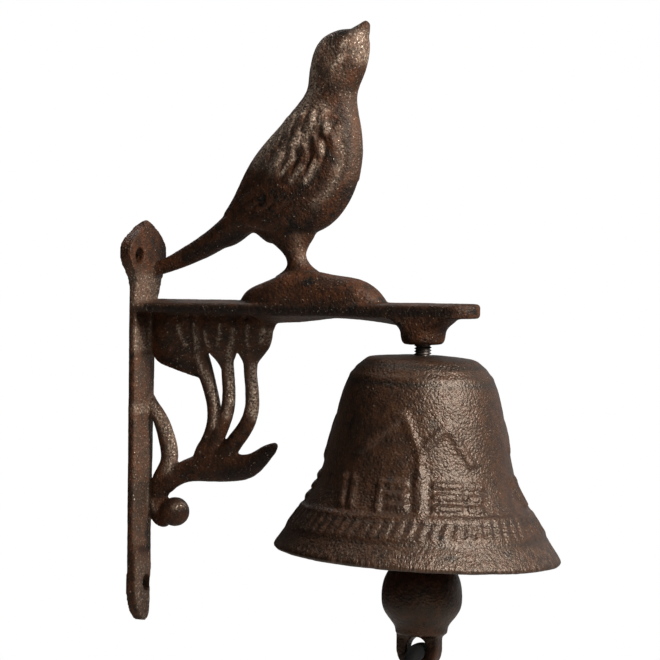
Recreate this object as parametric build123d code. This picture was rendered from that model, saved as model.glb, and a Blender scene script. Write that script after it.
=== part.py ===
from build123d import *
import math
import os

# Cast iron wall bell: a bird perched on a bracket, with a bell hung from the bracket's arm.
# Millimetres. The wall is the plane X = 0, the arm reaches along +X, +Z is up.
# Outlines are written as (x, z) seen from the side of the arm, about the arm's middle plane y = 0.
# Every piece is moved at the end so that the origin lies midway between the two screw holes.

# Wall plate
strip_thickness = 2.8
top_pad_thickness = 4.6
foot_pad_thickness = 4.0
screw_hole_diameter = 5.7
upper_hole_y = -7.1
upper_hole_z = 58.1
lower_hole_y = 0.4
lower_hole_z = -58.6

# Arm: a flat shelf that thickens towards its tip, with a boss under it for the stud
arm_underside_z = 38.3
arm_depth = 15.0
arm_reach = 135.1
arm_corner_radius = 7.3
arm_tip_round = 1.3
arm_root_near_thickness = 3.0
arm_root_far_thickness = 4.7
arm_tip_near_thickness = 4.8
arm_tip_far_thickness = 5.1
boss_x = 114.4
boss_height = 9.1
boss_foot_radius = 5.7
boss_waist_radius = 8.2
boss_shoulder_radius = 11.0
boss_flare_radius = 18.0
boss_depth = 14.9

# Scrollwork, bird and rib lie on one plane, a little to the far side of the arm's middle
casting_plane_y = 4.0
scroll_half_depth = 2.3
bud_rib_half_depth = 3.7
curl_ball_radius = 5.2

# Mound that the bird stands on
mound_depth = 14.4

# Bell
bell_height = 68.5
bell_rim_radius = 49.3
bell_wall = 3.6
bell_lean_deg = 1.8
mouth_slant_deg = 1.6
lip_round = 1.0
bell_hole_diameter = 6.6
relief_height = 0.75
motif_count = 3
motif_turn_deg = -61.0
band_bar_count = 66
band_bar_width = 1.9
band_bar_slant = 1.3

# Stud with an eye, nut and washer that hold the bell up against its thread
stud_diameter = 6.0
stud_bore_clearance = 0.05
stud_seat_depth = 8.0
crown_drop = 3.6
washer_thickness = 1.2
washer_outer_diameter = 14.0
washer_hole_diameter = 6.4
nut_across_flats = 10.0
nut_height = 5.0
nut_corner_chamfer = 0.6
seat_clearance = 0.02
stud_tail = 2.2
eye_offset = 1.5
eye_ring_radius = 6.2
eye_wire_radius = 2.0

# Clapper: an eye at the top, a round shank, a pear-shaped ball and a flat tang with an eye for the cord
clapper_eye_clearance = 0.6
clapper_eye_wall = 2.8
clapper_eye_thickness = 3.4
clapper_shank_start = 0.9
clapper_shank_radius = 3.0
clapper_ball_drop = 58.0
clapper_ball_radius = 13.85
tang_width = 15.8
tang_offset = -0.8
tang_thickness = 5.0
tang_eye_diameter = 8.0
tang_eye_drop = 17.9

# Pull cord, its knot under the tang and the knot at its end
cord_diameter = 6.0
cord_knot_radius = 7.4
end_knot_radius = 7.8

os.makedirs("parts", exist_ok=True)


def section(first, second, half_depth, plane_y):
    """Ellipse whose ends are two opposite points of an outline, (x, z) each, and whose depth is along Y."""
    start = Vector(first[0], plane_y, first[1])
    end = Vector(second[0], plane_y, second[1])
    across = end - start
    plane = Plane(origin=(start + end) * 0.5, x_dir=across, z_dir=across.cross(Vector(0, 1, 0)))
    return plane * Ellipse(across.length / 2, half_depth)


def limb(pairs, half_depths, plane_y=casting_plane_y):
    """Rounded body lofted through pairs of opposite outline points."""
    faces = [section(a, b, depth, plane_y) for (a, b), depth in zip(pairs, half_depths)]
    return loft(faces)


def rod(centres, half_widths, half_depth=scroll_half_depth, plane_y=casting_plane_y):
    """Rounded rod along centre points (x, z), its half width given at each."""
    pairs = []
    for i, (x, z) in enumerate(centres):
        before = centres[max(i - 1, 0)]
        after = centres[min(i + 1, len(centres) - 1)]
        run = math.hypot(after[0] - before[0], after[1] - before[1])
        normal_x = -(after[1] - before[1]) / run
        normal_z = (after[0] - before[0]) / run
        width = half_widths[i]
        pairs.append(((x - normal_x * width, z - normal_z * width), (x + normal_x * width, z + normal_z * width)))
    depths = [min(half_depth, width * 1.1) for width in half_widths]
    return limb(pairs, depths, plane_y)


def side_prism(points, low_y, high_y):
    """Prism along Y with a straight-sided outline given as (x, z)."""
    outline = Polyline(*[(x, low_y, z) for x, z in points], close=True)
    return extrude(make_face(outline), amount=high_y - low_y, dir=(0, 1, 0))


def front_prism(outline, thickness):
    """Prism along +X from the wall, from a closed outline drawn in the wall plane."""
    return extrude(make_face(outline), amount=thickness, dir=(1, 0, 0))


def in_wall_plane(points):
    return [Vector(0, y, z) for y, z in points]


def wall_plate():
    near_edge = [(-7.0, 45.0), (-7.6, 49.0), (-11.4, 54.3), (-13.5, 59.8), (-12.1, 63.0), (-8.0, 66.2), (-3.4, 69.3)]
    far_edge = [(1.0, 69.8), (5.4, 66.9), (9.2, 63.4), (10.8, 59.8), (10.2, 55.3), (9.2, 50.5), (9.0, 45.0)]
    neck_foot = (7.0, 36.0)
    foot_far = [(5.2, -40.0), (5.2, -58.0), (3.6, -66.0), (1.6, -70.5)]
    foot_near = [(-3.0, -70.7), (-5.8, -67.6), (-7.6, -60.5), (-7.2, -50.0)]
    top = Spline(*in_wall_plane(near_edge), tangents=[(0, 0, 1), (0, 0.75, 0.65)])
    crest = ThreePointArc(*in_wall_plane([near_edge[-1], (-1.2, 71.0), far_edge[0]]))
    shoulder = Spline(*in_wall_plane(far_edge), tangents=[(0, 0.75, -0.65), (0, 0, -1)])
    far_side = Polyline(*in_wall_plane([far_edge[-1], neck_foot, foot_far[0]]))
    foot_outer = Spline(*in_wall_plane(foot_far), tangents=[(0, 0, -1), (0, -0.85, -0.5)])
    toe = ThreePointArc(*in_wall_plane([foot_far[-1], (-0.7, -72.1), foot_near[0]]))
    foot_inner = Spline(*in_wall_plane(foot_near), tangents=[(0, -0.85, 0.5), (0, 0, 1)])
    near_side = Line(*in_wall_plane([foot_near[-1], near_edge[0]]))
    outline = Curve() + [top, crest, shoulder, far_side, foot_outer, toe, foot_inner, near_side]
    plate = front_prism(outline, top_pad_thickness)
    front_profile = [
        (-1.0, -80.0),
        (foot_pad_thickness, -80.0),
        (foot_pad_thickness, -52.0),
        (strip_thickness, -44.0),
        (strip_thickness, 44.0),
        (top_pad_thickness, 53.0),
        (top_pad_thickness, 69.4),
        (top_pad_thickness - 1.4, 71.2),
        (-1.0, 67.8),
    ]
    plate = plate & side_prism(front_profile, -20.0, 20.0)
    return plate - far_bevel()


def far_bevel():
    """Long wedge that takes the far front edge off the strip and the foot."""
    low = Polyline((4.6, 1.2, -76.0), (-0.6, 6.8, -76.0), (8.0, 6.8, -76.0), close=True)
    high = Polyline((4.6, 7.0, 44.0), (-0.6, 12.6, 44.0), (8.0, 12.6, 44.0), close=True)
    return loft([make_face(low), make_face(high)], ruled=True)


def screw_hole(y, z):
    return Pos(0, y, z) * Rot(0, 90, 0) * Cylinder(screw_hole_diameter / 2, 40)


def arm_plan():
    """Tall prism over the arm's outline as seen from above, with its round tip."""
    plan = Pos(arm_reach / 2, 0, arm_underside_z) * Rectangle(arm_reach, arm_depth)
    prism = extrude(plan, amount=20, both=True)
    corners = prism.edges().filter_by(Axis.Z).group_by(Axis.X)[-1]
    return fillet(corners, arm_corner_radius)


def arm():
    near = -arm_depth / 2
    far = arm_depth / 2

    def cross_section(x, near_thickness, far_thickness):
        corners = Polyline(
            (x, near, arm_underside_z),
            (x, near, arm_underside_z + near_thickness),
            (x, far, arm_underside_z + far_thickness),
            (x, far, arm_underside_z),
            close=True,
        )
        return make_face(corners)

    root = cross_section(0.5, arm_root_near_thickness, arm_root_far_thickness)
    tip = cross_section(arm_reach, arm_tip_near_thickness, arm_tip_far_thickness)
    bar = loft([root, tip], ruled=True)
    corners = bar.edges().filter_by(Axis.Z).group_by(Axis.X)[-1]
    bar = fillet(corners, arm_corner_radius)
    tip_rims = bar.edges().filter_by(lambda edge: edge.center().X > arm_reach - arm_depth * 0.3)
    tip_rims = tip_rims.filter_by(Axis.Z, reverse=True)
    return fillet(tip_rims, arm_tip_round)


def arm_boss():
    foot_z = arm_underside_z - boss_height
    profile = Polyline((0, foot_z), (boss_foot_radius, foot_z))
    profile += Spline(
        (boss_foot_radius, foot_z),
        (boss_waist_radius - 0.7, foot_z + 1.9),
        (boss_waist_radius, foot_z + 5.2),
        (boss_shoulder_radius, arm_underside_z - 1.3),
        (boss_flare_radius, arm_underside_z + 0.3),
        tangents=[(1, 0.1), (1, 0.12)],
    )
    profile += Polyline(
        (boss_flare_radius, arm_underside_z + 0.3),
        (boss_flare_radius, arm_underside_z + 1.0),
        (0, arm_underside_z + 1.0),
        (0, foot_z),
    )
    boss = revolve(make_face(Plane.XZ * profile), Axis.Z)
    block = Pos(boss_x, 0, arm_underside_z) * Box(60, boss_depth, 40)
    return Pos(boss_x, 0, 0) * boss & block & arm_plan()


def arm_rib():
    """Low arched web under the arm, and the sloping underside that joins it to the arm's near edge."""
    arch = [(50.0, 34.9), (58.0, 35.4), (66.0, 35.9), (78.0, 37.3), (88.0, 37.1), (97.0, 36.3), (108.0, 34.6)]
    near = casting_plane_y - scroll_half_depth
    far = casting_plane_y + scroll_half_depth

    def rib_face(y, share):
        """The arch's face at depth y, with its drop below the arm scaled by share."""
        drops = [(x, arm_underside_z - share * (arm_underside_z - z)) for x, z in arch]
        lower = Spline(*[(x, y, z) for x, z in drops])
        ends = Polyline(
            (drops[-1][0], y, drops[-1][1]),
            (drops[-1][0], y, arm_underside_z + 0.6),
            (drops[0][0], y, arm_underside_z + 0.6),
            (drops[0][0], y, drops[0][1]),
        )
        return make_face(Curve() + [lower, ends])

    rib = extrude(rib_face(near, 1.0), amount=far - near, dir=(0, 1, 0))
    slope = loft([rib_face(-arm_depth / 2 + 0.6, 0.08), rib_face(near + 0.2, 0.97)])
    return rib + slope


def scrollwork():
    """Three buds under the arm, each drawn out into a stem, a leaf-shaped calyx, its curl and a tendril."""
    buds = [
        limb(
            [
                ((4.0, 39.0), (19.8, 39.0)),
                ((2.6, 34.0), (20.6, 34.0)),
                ((2.4, 28.5), (21.4, 28.5)),
                ((3.0, 24.2), (22.8, 22.6)),
                ((5.0, 20.9), (23.8, 17.6)),
                ((9.4, 19.1), (24.4, 14.6)),
            ],
            [2.3, 3.0, 3.1, 2.9, 2.6, 2.2],
        ),
        limb(
            [
                ((22.0, 39.0), (37.4, 39.0)),
                ((21.6, 33.5), (38.4, 33.5)),
                ((23.2, 28.5), (38.6, 28.5)),
                ((26.4, 24.6), (37.9, 24.2)),
                ((30.0, 21.4), (36.7, 20.8)),
                ((32.2, 18.2), (36.6, 18.0)),
            ],
            [2.3, 3.1, 3.1, 2.8, 2.3, 1.8],
        ),
        limb(
            [
                ((37.2, 39.0), (54.6, 39.0)),
                ((36.6, 34.5), (54.0, 34.5)),
                ((36.8, 29.7), (52.2, 29.7)),
                ((37.7, 26.2), (50.9, 26.0)),
                ((39.6, 23.2), (48.6, 23.0)),
                ((41.4, 19.6), (46.6, 19.4)),
            ],
            [2.3, 3.2, 3.2, 2.9, 2.5, 2.0],
        ),
    ]
    stems = [
        rod(
            [
                (21.9, 39), (22.0, 33), (22.7, 27), (24.2, 21), (26.2, 15),
                (28.0, 9.4), (29.2, 3.7), (28.6, -2.6), (26.6, -8), (23.6, -14.5),
            ],
            [2.3, 2.3, 2.5, 3.0, 2.9, 2.6, 2.6, 2.6, 2.9, 2.9],
        ),
        rod(
            [
                (36.0, 36), (35.4, 30), (34.6, 24), (34.6, 18.5), (35.1, 12.6),
                (35.1, 6.8), (33.8, 1.1), (31.2, -4.5), (27.6, -11),
            ],
            [1.6, 1.7, 2.0, 2.3, 2.4, 2.5, 2.6, 2.8, 3.4],
        ),
        rod(
            [(44.2, 22), (44.0, 17.5), (44.5, 12.6), (44.8, 7.1), (43.8, 1.6), (41.0, -3.4), (37.2, -8), (32.0, -13)],
            [2.8, 2.4, 2.4, 2.6, 2.8, 3.0, 3.2, 3.6],
        ),
    ]
    ribs = [
        rod([(16.4, 37), (16.2, 32.4), (17.6, 28.4), (19.8, 25.4)], [0.5, 0.9, 0.9, 0.5], bud_rib_half_depth),
        rod([(22.6, 37), (22.7, 32.0), (23.4, 27.0), (24.6, 21.6)], [0.9, 1.2, 1.3, 1.2], bud_rib_half_depth),
        rod([(27.0, 36), (27.2, 31.0), (28.5, 26.6), (30.6, 23.6)], [0.5, 0.9, 0.9, 0.5], bud_rib_half_depth),
        rod([(34.6, 35), (34.6, 31.6), (34.0, 28.0)], [0.5, 0.9, 0.5], bud_rib_half_depth),
        rod([(38.9, 37), (38.9, 32.0), (38.0, 27.4), (36.4, 22.8)], [0.9, 1.1, 1.1, 1.0], bud_rib_half_depth),
        rod([(46.4, 36), (46.8, 32.0), (46.6, 28.2)], [0.5, 0.9, 0.5], bud_rib_half_depth),
        rod([(51.2, 36), (51.4, 31.4), (50.4, 27.2), (48.2, 24.0)], [0.6, 1.3, 1.3, 0.6], bud_rib_half_depth),
    ]
    calyx = limb(
        [
            ((54.2, -6.7), (55.4, -7.9)),
            ((50.5, -7.8), (53.3, -11.8)),
            ((46.5, -9.9), (50.2, -15.4)),
            ((42.3, -11.5), (45.4, -19.3)),
            ((36.6, -11.2), (38.8, -21.1)),
            ((30.0, -10.6), (31.6, -21.7)),
            ((23.0, -12.2), (25.0, -21.8)),
            ((16.6, -14.6), (19.6, -22.2)),
            ((11.0, -18.0), (14.9, -23.9)),
            ((6.6, -21.6), (11.4, -26.4)),
        ],
        [0.9, 1.9, 2.5, 3.0, 3.2, 3.3, 3.2, 3.0, 2.7, 2.4],
    )
    curl = rod(
        [(10.0, -22.5), (6.8, -26.2), (5.6, -30.4), (7.0, -34.4), (11.0, -35.6)],
        [3.6, 3.7, 3.8, 3.8, 3.0],
    )
    ball = Pos(13.3, casting_plane_y, -33.1) * Sphere(curl_ball_radius)
    tendril = rod(
        [
            (1.6, 9.6), (3.2, 5.6), (5.8, 1.4), (8.2, -3.2), (9.9, -8.2),
            (10.8, -13), (9.6, -17.4), (7.2, -21.4), (6.0, -26.0),
        ],
        [0.9, 2.0, 2.7, 3.1, 3.4, 3.4, 3.2, 3.1, 2.8],
    )
    return buds + stems + ribs + [calyx, curl, ball, tendril]


def mound():
    """Rounded rock on the arm: arched cross-sections lofted along X."""
    half = mound_depth / 2
    stations = [
        (41.6, 1.8, 0.30),
        (44.2, 4.6, 0.52),
        (48.0, 6.8, 0.74),
        (53.0, 8.6, 0.90),
        (58.0, 10.6, 1.0),
        (64.0, 12.4, 1.0),
        (70.4, 12.4, 1.0),
        (77.0, 11.5, 1.0),
        (84.0, 10.6, 1.0),
        (89.6, 9.6, 0.94),
        (93.6, 7.6, 0.80),
        (96.8, 4.6, 0.58),
        (98.6, 2.2, 0.34),
    ]
    base = arm_underside_z + arm_root_near_thickness

    def arch(x, height, share):
        """Arched section: its width shrinks with share towards the mound's ends, about a line on the far side."""
        side = base + height * 0.42
        middle = (1 - share) * 2.6
        low = middle - half * share
        high = middle + half * share
        width = half * share
        sides = Polyline((x, high, side), (x, high, base), (x, low, base), (x, low, side))
        crown = Spline(
            (x, low, side),
            (x, middle - width * 0.6, base + height * 0.9),
            (x, middle + width * 0.1, base + height),
            (x, middle + width * 0.64, base + height * 0.88),
            (x, high, side),
        )
        return make_face(Curve() + [sides, crown])

    return loft([arch(*station) for station in stations])


body_pairs = [
    ((78.6, 136.9), (86.4, 137.6)),
    ((74.0, 135.2), (88.6, 135.6)),
    ((70.6, 132.0), (89.3, 132.6)),
    ((68.4, 126.6), (89.0, 127.4)),
    ((67.4, 121.4), (87.2, 121.4)),
    ((66.4, 116.0), (84.9, 115.6)),
    ((62.4, 110.9), (85.0, 110.4)),
    ((56.0, 104.3), (86.6, 103.0)),
    ((49.2, 97.6), (87.3, 95.2)),
    ((43.2, 90.2), (86.0, 86.6)),
    ((38.4, 81.8), (81.8, 76.8)),
    ((34.6, 75.8), (73.6, 68.8)),
    ((33.2, 72.0), (58.0, 66.2)),
    ((34.8, 71.2), (44.0, 67.6)),
]
body_depths = [4.6, 7.0, 8.2, 8.6, 8.2, 7.8, 8.4, 9.4, 10.0, 10.0, 9.4, 8.2, 6.0, 2.8]
tail_pairs = [
    ((2.4, 55.6), (4.0, 50.9)),
    ((9.0, 57.8), (11.0, 52.6)),
    ((16.0, 61.4), (19.0, 55.2)),
    ((22.6, 65.1), (26.6, 58.2)),
    ((29.0, 69.4), (34.0, 61.9)),
    ((36.0, 74.4), (42.4, 67.2)),
]
tail_depths = [2.3, 2.3, 2.6, 3.3, 4.4, 5.6]
first_feather_section = 6
feather_height = 0.9


def bird():
    """Plain songbird with its beak up, its tail drawn out to the wall plate, standing on one merged leg."""
    body = limb(body_pairs, body_depths)
    tail = limb(tail_pairs, tail_depths)
    beak = limb(
        [
            ((79.5, 136.4), (88.8, 132.8)),
            ((84.4, 138.3), (89.6, 134.8)),
            ((87.2, 139.8), (90.0, 136.8)),
            ((88.7, 140.7), (90.2, 138.8)),
        ],
        [3.8, 3.0, 2.2, 1.2],
    )
    leg = limb(
        [
            ((44.6, 70.0), (72.0, 70.0)),
            ((49.6, 65.4), (68.2, 64.4)),
            ((54.8, 61.6), (66.0, 60.9)),
            ((58.6, 57.4), (66.2, 57.4)),
            ((58.2, 54.6), (68.8, 54.8)),
            ((53.6, 51.0), (75.0, 51.6)),
        ],
        [6.0, 4.6, 3.7, 3.3, 3.6, 4.6],
    )
    vent = rod(
        [(27.0, 61.6), (34.2, 64.6), (40.6, 68.4), (44.6, 69.9), (48.4, 68.6), (54.2, 66.0)],
        [2.6, 3.0, 3.2, 3.2, 3.2, 3.2],
        4.2,
    )
    return [body, tail, beak, leg, vent, feathers()]


def leaf_prism(centres, widest):
    """Prism along Y over a long leaf outline that tapers to both ends of its centre line (x, z)."""
    count = len(centres)
    left, right = [], []
    for i, (x, z) in enumerate(centres):
        before = centres[max(i - 1, 0)]
        after = centres[min(i + 1, count - 1)]
        run = math.hypot(after[0] - before[0], after[1] - before[1])
        half = widest / 2 * math.sin(math.pi * (0.12 + 0.76 * i / (count - 1)))
        offset_x = -(after[1] - before[1]) / run * half
        offset_z = (after[0] - before[0]) / run * half
        left.append((x + offset_x, -20.0, z + offset_z))
        right.append((x - offset_x, -20.0, z - offset_z))
    outline = Curve() + [
        Spline(*left),
        Line(left[-1], right[-1]),
        Spline(*reversed(right)),
        Line(right[0], left[0]),
    ]
    return extrude(make_face(outline), amount=50, dir=(0, 1, 0))


def feathers():
    """Wing feathers on both flanks: leaf shapes cut from a slightly thicker copy of the body."""
    primaries = [
        ([(77.0, 104.0), (80.2, 96.0), (78.2, 88.0), (72.0, 80.4), (62.4, 74.0)], 3.4),
        ([(73.6, 100.5), (75.6, 94.0), (73.0, 87.0), (66.4, 80.2), (56.6, 74.6)], 3.2),
        ([(69.8, 97.6), (70.4, 92.0), (67.0, 86.0), (60.4, 80.0), (50.4, 74.8)], 3.1),
        ([(65.6, 95.6), (65.0, 90.4), (61.2, 85.4), (54.6, 80.2), (45.6, 75.4)], 3.0),
        ([(61.2, 94.4), (60.0, 89.8), (56.0, 85.4), (49.8, 81.0), (42.6, 77.2)], 2.9),
    ]
    coverts = []
    for row, (start_x, start_z, count) in enumerate([(60.4, 104.6, 5), (54.6, 98.6, 4), (50.2, 92.4, 3)]):
        for i in range(count):
            x = start_x + i * 4.3 + row * 0.4
            z = start_z + i * 0.6
            coverts.append(([(x, z + 2.6), (x - 0.9, z - 0.6), (x - 3.0, z - 3.8)], 2.7))
    thicker_depths = [
        depth + (feather_height if i >= first_feather_section else 0.0) for i, depth in enumerate(body_depths)
    ]
    thicker = limb(body_pairs, thicker_depths)
    prisms = [leaf_prism(centres, widest) for centres, widest in primaries + coverts]
    return thicker & (Part() + prisms)


def bracket():
    """The whole wall bracket is one casting."""
    casting = wall_plate() + arm() + arm_rib() + arm_boss()
    casting += scrollwork()
    casting += mound()
    casting += bird()
    casting -= screw_hole(upper_hole_y, upper_hole_z)
    casting -= screw_hole(lower_hole_y, lower_hole_z)
    bore_radius = stud_diameter / 2 + stud_bore_clearance
    bore = Pos(0, 0, -2) * Cylinder(
        bore_radius, stud_seat_depth + 2 + seat_clearance, align=(Align.CENTER, Align.CENTER, Align.MIN)
    )
    return casting - stud_place * bore


# The stud, the bell and the pieces inside it share one axis, which leans a little out of plumb
stud_place = Pos(boss_x, 0, arm_underside_z - boss_height) * Rot(0, bell_lean_deg, 0)
crown_z = -crown_drop

bell_outline = [
    (bell_rim_radius + 1.9, -1.6),
    (bell_rim_radius, 1.4),
    (47.2, 4.4),
    (40.4, 14.4),
    (34.2, 25.0),
    (31.0, 36.6),
    (28.5, 48.4),
    (26.3, 57.0),
    (24.5, 61.0),
    (21.7, 64.6),
    (18.6, 67.3),
]


# Raised rings round the bell as (level, radius of the bead)
bell_beads = [(64.2, 0.4), (61.4, 0.55), (15.9, 0.75), (9.2, 0.6)]


def outset(points, distance):
    """Points (r, z) moved square to the line through them, outwards for a positive distance."""
    moved = []
    for i, (r, z) in enumerate(points):
        before = points[max(i - 1, 0)]
        after = points[min(i + 1, len(points) - 1)]
        run = math.hypot(after[0] - before[0], after[1] - before[1])
        moved.append((r + (after[1] - before[1]) / run * distance, z - (after[0] - before[0]) / run * distance))
    return moved


def in_profile(points):
    return [Vector(r, 0, z) for r, z in points]


def bell_skin(points, low_z, high_z):
    """Solid inside a bell outline between two levels, in straight runs."""
    top_r, top_z = points[-1]
    foot_r, foot_z = points[0]
    rest = [(0, top_z), (0, foot_z), (foot_r, foot_z)]
    outline = Polyline(*in_profile(points + rest))
    solid = revolve(make_face(outline), Axis.Z)
    slab = Pos(0, 0, low_z) * Cylinder(90, high_z - low_z, align=(Align.CENTER, Align.CENTER, Align.MIN))
    return solid & slab


def outline_radius(z):
    """Radius of the bell's outline at a level, along straight runs between its points."""
    for (r0, z0), (r1, z1) in zip(bell_outline, bell_outline[1:]):
        if z0 <= z <= z1:
            return r0 + (r1 - r0) * (z - z0) / (z1 - z0)
    return bell_outline[-1][0]


def bead(z, radius):
    ring = Pos(outline_radius(z), 0, z) * Rot(90, 0, 0) * Circle(radius)
    return revolve(ring, Axis.Z)


def bell_body():
    """Solid bell shape before it is hollowed."""
    top_r, top_z = bell_outline[-1]
    side = Spline(*in_profile(bell_outline))
    crown = ThreePointArc(
        *in_profile([(top_r, top_z), (top_r * 0.55, bell_height - 0.3), (0, bell_height)])
    )
    rest = Polyline(*in_profile([(0, bell_height), (0, bell_outline[0][1]), bell_outline[0]]))
    body = revolve(make_face(Curve() + [side, crown, rest]), Axis.Z)
    body -= Rot(0, mouth_slant_deg, 0) * Pos(0, 0, -20) * Box(140, 140, 40)
    lip = body.edges().group_by(Axis.Z)[0]
    return fillet(lip, lip_round)


def bell_cavity():
    """Room inside the bell, with a flat seat for the washer under the crown."""
    wall_line = outset(bell_outline, -bell_wall)
    low_z = wall_line[0][1]
    top_r, top_z = wall_line[-1]
    ceiling = bell_height - bell_wall
    side = Spline(*in_profile(wall_line))
    shoulder = ThreePointArc(*in_profile([(top_r, top_z), (top_r * 0.75, ceiling - 0.3), (top_r * 0.5, ceiling)]))
    rest = Polyline(*in_profile([(top_r * 0.5, ceiling), (0, ceiling), (0, low_z), wall_line[0]]))
    return revolve(make_face(Curve() + [side, shoulder, rest]), Axis.Z)


def radial_prism(points, angle):
    """Prism pointing away from the bell's axis, its outline given as (sideways, up)."""
    outline = Polyline(*[(15.0, side, z) for side, z in points], close=True)
    return Rot(0, 0, angle) * extrude(make_face(outline), amount=45, dir=(1, 0, 0))


def stroke(start, end, width):
    """Four corners of a straight stroke."""
    run = math.hypot(end[0] - start[0], end[1] - start[1])
    side = -(end[1] - start[1]) / run * width / 2
    up = (end[0] - start[0]) / run * width / 2
    return [
        (start[0] + side, start[1] + up),
        (end[0] + side, end[1] + up),
        (end[0] - side, end[1] - up),
        (start[0] - side, start[1] - up),
    ]


def motif(angle):
    """One farmhouse: two roof slopes each side of a corner post, timber walls of rails and posts."""
    lines = [
        ((-21.0, 36.8), (-6.8, 50.2), 1.8),
        ((-6.4, 50.4), (-1.2, 38.0), 2.0),
        ((-1.0, 37.6), (8.6, 46.2), 2.0),
        ((8.8, 46.4), (17.6, 33.0), 2.0),
        ((-0.6, 38.6), (-0.6, 29.0), 1.8),
        ((-0.2, 30.0), (-0.2, 17.0), 3.2),
        ((-25.6, 28.6), (-26.6, 19.0), 1.5),
        ((-22.2, 28.6), (-23.4, 19.0), 1.5),
        ((-13.2, 28.0), (-14.6, 18.0), 1.5),
    ]
    for level in (27.0, 23.5, 20.0):
        lines.append(((4.0, level), (14.4, level - 0.3), 1.7))
        lines.append(((16.2, level - 0.3), (21.4, level - 0.5), 1.7))
        lines.append(((-11.4, level + 0.2), (-4.4, level), 1.7))
    return [radial_prism(stroke(start, end, width), angle) for start, end, width in lines]


def bell_relief():
    """The same raised farmhouse, repeated round the bell; the first one faces the arm's near side."""
    skin = bell_skin(outset(bell_outline, relief_height), 16.4, 52.0)
    strokes = []
    for i in range(motif_count):
        strokes += motif(i * 360.0 / motif_count + motif_turn_deg)
    return skin & (Part() + strokes)


def bell_band():
    """Row of short slanted bars low on the bell."""
    skin = bell_skin(outset(bell_outline, relief_height), 9.9, 14.6)
    bars = [
        radial_prism(stroke((-band_bar_slant, 9.0), (band_bar_slant, 15.5), band_bar_width), i * 360.0 / band_bar_count)
        for i in range(band_bar_count)
    ]
    return skin & (Part() + bars)


def bell():
    casting = bell_body()
    casting += [bead(level, radius) for level, radius in bell_beads]
    casting += bell_relief()
    casting += bell_band()
    casting -= bell_cavity()
    casting -= Pos(0, 0, bell_height - 5) * Cylinder(bell_hole_diameter / 2, 20)
    return stud_place * Pos(0, 0, crown_z - bell_height) * casting


under_crown_z = crown_z - bell_wall - seat_clearance
washer_low_z = under_crown_z - washer_thickness
nut_low_z = washer_low_z - seat_clearance - nut_height
eye_centre_z = nut_low_z - stud_tail - eye_ring_radius
pivot_in_stud = eye_centre_z - eye_ring_radius


def eye_bolt():
    """Threaded stud, screwed into the boss, whose lower end is bent into a closed eye."""
    top_z = stud_seat_depth
    shank_low = eye_centre_z + eye_ring_radius - 1.2
    shank = Pos(0, 0, shank_low) * Cylinder(
        stud_diameter / 2, top_z - shank_low, align=(Align.CENTER, Align.CENTER, Align.MIN)
    )
    ring = Pos(eye_offset, 0, eye_centre_z) * Rot(0, 90, 0) * Torus(eye_ring_radius, eye_wire_radius)
    return stud_place * (shank + ring)


def washer():
    disc = Cylinder(washer_outer_diameter / 2, washer_thickness, align=(Align.CENTER, Align.CENTER, Align.MIN))
    hole = Cylinder(washer_hole_diameter / 2, 10)
    return stud_place * Pos(0, 0, washer_low_z) * (disc - hole)


def crown_nut():
    """Hexagon nut with its corners turned off, top and bottom."""
    prism = extrude(RegularPolygon(nut_across_flats / 2, 6, major_radius=False), amount=nut_height)
    corner_radius = nut_across_flats / math.sqrt(3)
    turned = Cylinder(corner_radius, nut_height, align=(Align.CENTER, Align.CENTER, Align.MIN))
    turned = chamfer(turned.edges().filter_by(GeomType.CIRCLE), nut_corner_chamfer)
    hole = Cylinder(stud_diameter / 2 + stud_bore_clearance, 30)
    return stud_place * Pos(0, 0, nut_low_z) * ((prism & turned) - hole)


pivot = (stud_place * Pos(eye_offset, 0, pivot_in_stud)).position


def clapper():
    """One casting: eye, shank, pear-shaped ball and flat tang, hanging plumb from the stud's eye."""
    eye_bore = eye_wire_radius + clapper_eye_clearance
    eye_radius = eye_bore + clapper_eye_wall
    eye = Rot(90, 0, 0) * Cylinder(eye_radius, clapper_eye_thickness)
    shank_low = -clapper_ball_drop + clapper_ball_radius * 0.8
    shank = Pos(0, 0, shank_low) * Cylinder(
        clapper_shank_radius,
        -eye_bore - clapper_shank_start - shank_low,
        align=(Align.CENTER, Align.CENTER, Align.MIN),
    )
    big = clapper_ball_radius
    pear = Spline(
        (0, 0, big * 1.08),
        (big * 0.56, 0, big * 0.92),
        (big * 0.925, 0, big * 0.46),
        (big, 0, 0),
        (big * 0.94, 0, -big * 0.34),
        (big * 0.66, 0, -big * 0.76),
        (0, 0, -big * 0.98),
        tangents=[(1, 0, 0), (-1, 0, 0)],
    )
    ball = revolve(make_face(Curve() + [pear, Line((0, 0, -big * 0.98), (0, 0, big * 1.08))]), Axis.Z)
    half = tang_width / 2
    tang_face = Rectangle(tang_width, tang_eye_drop - 8, align=(Align.CENTER, Align.MIN)) + Circle(half)
    tang = Rot(90, 0, 0) * extrude(tang_face, amount=tang_thickness / 2, both=True)
    tang = Pos(tang_offset, 0, -tang_eye_drop) * tang
    cord_eye = Pos(tang_offset, 0, -tang_eye_drop) * Rot(90, 0, 0) * Cylinder(tang_eye_diameter / 2, 40)
    body = eye + shank + Pos(0, 0, -clapper_ball_drop) * (ball + tang - cord_eye)
    return Pos(*pivot) * (body - Rot(90, 0, 0) * Cylinder(eye_bore, 20))


cord_eye_centre = pivot - Vector(-tang_offset, 0, clapper_ball_drop + tang_eye_drop)

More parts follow.
